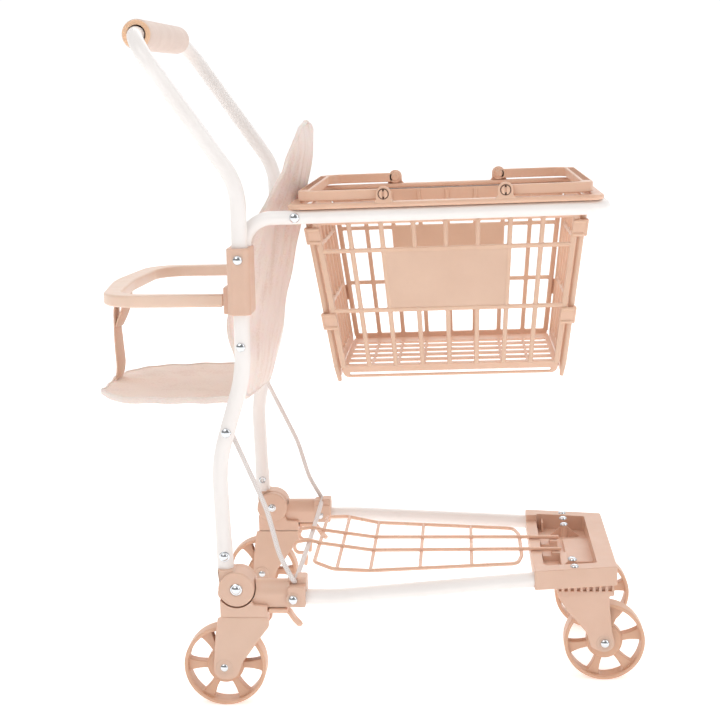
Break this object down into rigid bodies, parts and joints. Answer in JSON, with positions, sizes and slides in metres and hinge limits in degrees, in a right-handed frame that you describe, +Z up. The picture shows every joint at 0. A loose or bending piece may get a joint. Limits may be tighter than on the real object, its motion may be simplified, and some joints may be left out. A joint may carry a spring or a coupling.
{
  "type": "folding toy shopping cart",
  "caption": "Child's folding shopping cart in off-white tube and peach plastic, with a lift-out basket, a doll seat and a lower wire rack.",
  "frame": {"origin": "middle of the footprint of the object's bounding box, on the floor", "axes": "+X forward, the way the cart is pushed; +Y to its left; +Z up"},
  "size_m": [0.4602, 0.2662, 0.5582],
  "materials": {
    "peach_plastic": "moulded peach plastic with a soft satin shine",
    "white_tube": "off-white powder coat on steel tube, slightly pink",
    "chrome": "bright plated screw heads",
    "grip_foam": "soft foam sleeve, matt",
    "seat_fabric": "pale peach woven polyester with pale piping",
    "coated_wire": "peach plastic coat on steel wire",
    "elastic": "white braided elastic"
  },
  "bodies": {
    "upper_frame": {"push_handle": "white_tube", "handle_grip": "grip_foam", "basket_ring": "white_tube", "backrest": "seat_fabric", "seat_pan": "seat_fabric", "bumper_bar": "peach_plastic", "crotch_strap": "seat_fabric", "collar_left": "peach_plastic", "collar_right": "peach_plastic", "leg_left": "white_tube", "leg_right": "white_tube", "knuckle_left": "peach_plastic", "knuckle_right": "peach_plastic", "collar_bolt_left": "chrome", "collar_bolt_right": "chrome", "seat_bolt_left": "chrome", "seat_bolt_right": "chrome", "cord_bolt_left": "chrome", "cord_bolt_right": "chrome", "ring_bolt_left": "chrome", "ring_bolt_right": "chrome"},
    "base": {"front_platform": "peach_plastic", "rack": "coated_wire", "elastic_cord": "elastic", "rear_housing_left": "peach_plastic", "rear_housing_right": "peach_plastic", "rear_fork_left": "peach_plastic", "rear_fork_right": "peach_plastic", "base_tube_left": "white_tube", "base_tube_right": "white_tube", "pivot_bolt_left": "chrome", "pivot_bolt_right": "chrome", "housing_bolt_left": "chrome", "housing_bolt_right": "chrome", "rear_axle_left": "chrome", "rear_axle_right": "chrome"},
    "basket": {"basket_rim": "peach_plastic", "basket_floor": "peach_plastic", "basket_end_front": "peach_plastic", "basket_end_rear": "peach_plastic", "basket_side_left": "peach_plastic", "basket_side_right": "peach_plastic", "bail_screw_front_left": "peach_plastic", "bail_screw_front_right": "peach_plastic", "bail_screw_rear_left": "peach_plastic", "bail_screw_rear_right": "peach_plastic"},
    "front_bail": {"bail_front": "peach_plastic"},
    "rear_bail": {"bail_rear": "peach_plastic"},
    "lever_left": {"release_lever_left": "peach_plastic"},
    "caster_left": {"front_fork_left": "peach_plastic", "front_axle_left": "chrome"},
    "front_wheel_left": {"front_wheel_left": "peach_plastic"},
    "rear_wheel_left": {"rear_wheel_left": "peach_plastic"},
    "lever_right": {"release_lever_right": "peach_plastic"},
    "caster_right": {"front_fork_right": "peach_plastic", "front_axle_right": "chrome"},
    "front_wheel_right": {"front_wheel_right": "peach_plastic"},
    "rear_wheel_right": {"rear_wheel_right": "peach_plastic"}
  },
  "joints": [
    {"name": "frame_fold", "type": "hinge", "parent": "upper_frame", "child": "base", "pos_m": [-0.10745, 0, 0.1014], "axis": [0, -1, 0], "range_deg": [0, 72], "deforming": ["elastic_cord"]},
    {"name": "basket_lift", "type": "slide", "parent": "upper_frame", "child": "basket", "axis": [0.1532, 0, 0.9882], "range_m": [0, 0.14]},
    {"name": "front_bail_swing", "type": "hinge", "parent": "basket", "child": "front_bail", "pos_m": [0.11266, 0, 0.42012], "axis": [0, -1, 0], "range_deg": [0, 125]},
    {"name": "rear_bail_swing", "type": "hinge", "parent": "basket", "child": "rear_bail", "pos_m": [0.01727, 0, 0.41846], "axis": [0, 1, 0], "range_deg": [0, 125]},
    {"name": "lever_left_press", "type": "hinge", "parent": "base", "child": "lever_left", "pos_m": [-0.08015, 0.118, 0.08], "axis": [0, -1, 0], "range_deg": [0, 7], "stiffness_Nm_per_rad": 0.05},
    {"name": "caster_left_swivel", "type": "hinge", "parent": "base", "child": "caster_left", "pos_m": [0.17895, 0.061, 0.08], "axis": [0, 0, 1], "continuous": true},
    {"name": "front_wheel_left_roll", "type": "hinge", "parent": "caster_left", "child": "front_wheel_left", "pos_m": [0.19615, 0.061, 0.034], "axis": [0, 1, 0], "continuous": true},
    {"name": "rear_wheel_left_roll", "type": "hinge", "parent": "base", "child": "rear_wheel_left", "pos_m": [-0.11965, 0.118, 0.034], "axis": [0, 1, 0], "continuous": true},
    {"name": "lever_right_press", "type": "hinge", "parent": "base", "child": "lever_right", "pos_m": [-0.08015, -0.118, 0.08], "axis": [0, -1, 0], "range_deg": [0, 7], "stiffness_Nm_per_rad": 0.05},
    {"name": "caster_right_swivel", "type": "hinge", "parent": "base", "child": "caster_right", "pos_m": [0.17895, -0.061, 0.08], "axis": [0, 0, 1], "continuous": true},
    {"name": "front_wheel_right_roll", "type": "hinge", "parent": "caster_right", "child": "front_wheel_right", "pos_m": [0.19615, -0.061, 0.034], "axis": [0, 1, 0], "continuous": true},
    {"name": "rear_wheel_right_roll", "type": "hinge", "parent": "base", "child": "rear_wheel_right", "pos_m": [-0.11965, -0.118, 0.034], "axis": [0, 1, 0], "continuous": true}
  ],
  "couplings": [
    {"joint": "basket_lift", "follows": "frame_fold", "m_per_rad": 0.11}
  ]
}
